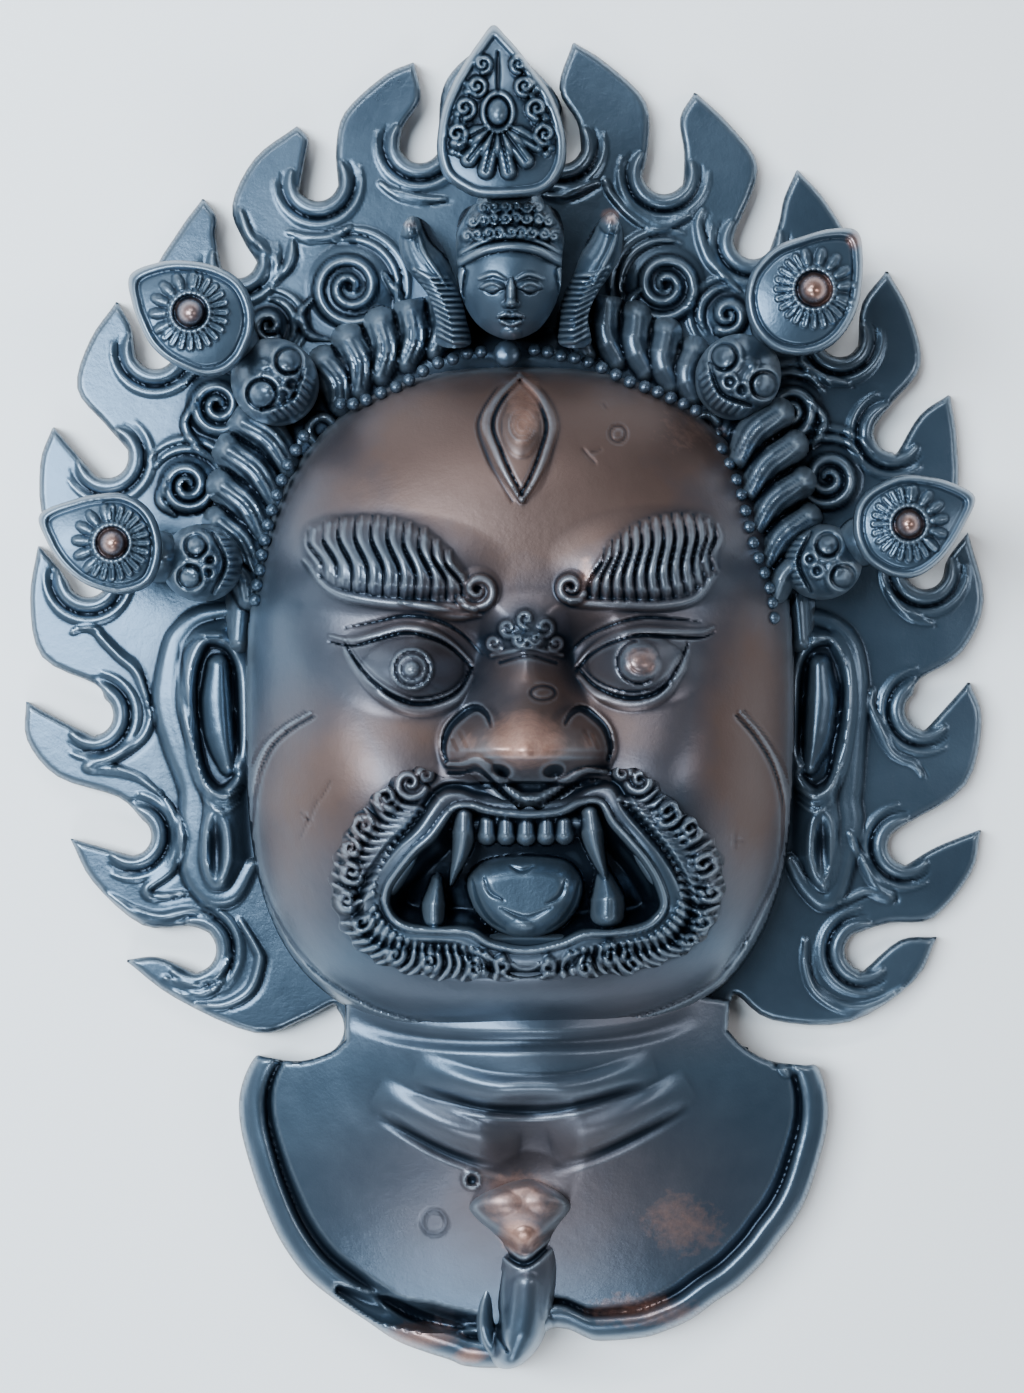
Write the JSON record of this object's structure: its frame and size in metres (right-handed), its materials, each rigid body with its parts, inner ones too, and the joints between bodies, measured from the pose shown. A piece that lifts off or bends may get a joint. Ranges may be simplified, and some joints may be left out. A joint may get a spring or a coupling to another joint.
{
  "type": "cast guardian wall mask",
  "caption": "Hollow cast metal mask of a three-eyed fanged guardian, with a flame halo, skull crown, curly beard and shoulder collar, lying on its flat back.",
  "frame": {"origin": "middle of the bounding box, on the flat back that the mask lies on", "axes": "+Z out of the face, away from the wall or table; +Y towards the top of the halo; +X towards the viewer's right when facing the mask"},
  "size_m": [0.2486, 0.3462, 0.0894],
  "materials": {
    "patinated_copper": "copper alloy under a dark blue-black and brown patina, worn to bare copper on the highest points"
  },
  "bodies": {
    "root": {"mask": "patinated_copper"}
  },
  "joints": []
}
